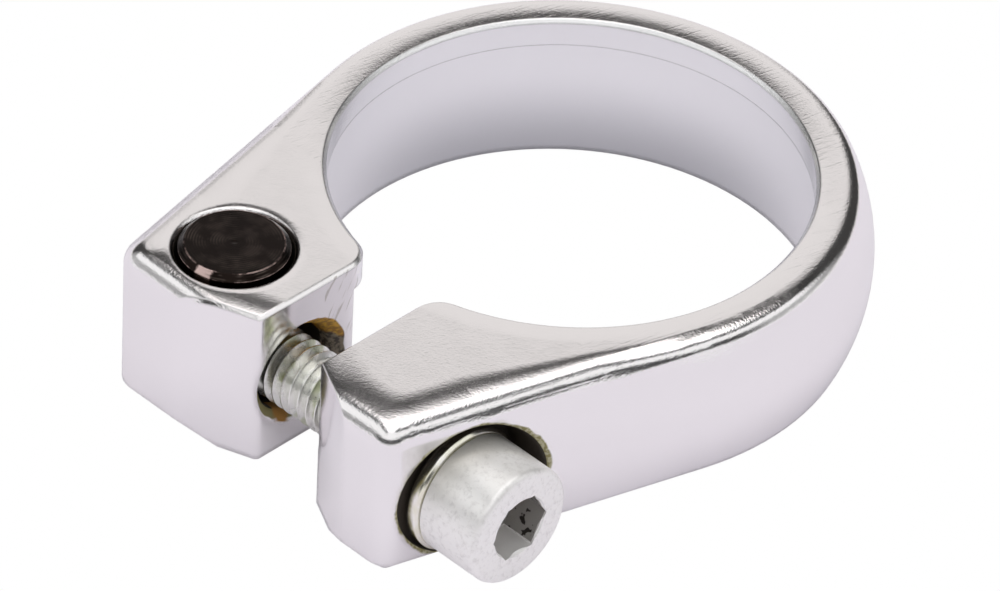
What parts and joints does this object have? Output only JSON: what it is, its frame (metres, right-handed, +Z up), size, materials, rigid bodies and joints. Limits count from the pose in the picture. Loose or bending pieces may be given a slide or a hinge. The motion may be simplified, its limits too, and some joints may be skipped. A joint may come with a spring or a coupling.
{
  "type": "seatpost clamp",
  "caption": "Split seat clamp band with an inner lip and flared ears, drawn closed on a bicycle's seat tube by a socket head screw in a round cross nut.",
  "frame": {"origin": "where the bore's axis meets the band's flat underside", "axes": "+Z runs up the bore towards the lip, the ears point to -Y, and the screw lies along X with its head towards +X"},
  "size_m": [0.041, 0.0491, 0.0125],
  "materials": {
    "polished_aluminium": "polished, with fine handling scratches",
    "black_steel": "black oxide over turned steel",
    "zinc_steel": "bright zinc plate, slightly dull",
    "washer_steel": "bright zinc plate with a faint yellow tint"
  },
  "bodies": {
    "band": {"clamp_band": "polished_aluminium"},
    "nut": {"barrel_nut": "black_steel"},
    "washer": {"washer": "washer_steel"},
    "screw": {"clamp_screw": "zinc_steel"}
  },
  "joints": [
    {"name": "nut_swivel", "type": "hinge", "parent": "band", "child": "nut", "pos_m": [-0.0088, -0.02245, 0.006], "axis": [0, 0, 1], "range_deg": [-0.6, 0.6]},
    {"name": "screw_back_out", "type": "slide", "parent": "nut", "child": "washer", "axis": [1, 0, 0], "range_m": [-0.0002, 0.005]},
    {"name": "screw_turn", "type": "hinge", "parent": "washer", "child": "screw", "pos_m": [0.01325, -0.02245, 0.0052], "axis": [1, 0, 0], "range_deg": [-90, 2250]}
  ],
  "couplings": [
    {"joint": "screw_turn", "follows": "screw_back_out", "rad_per_m": 7854}
  ]
}
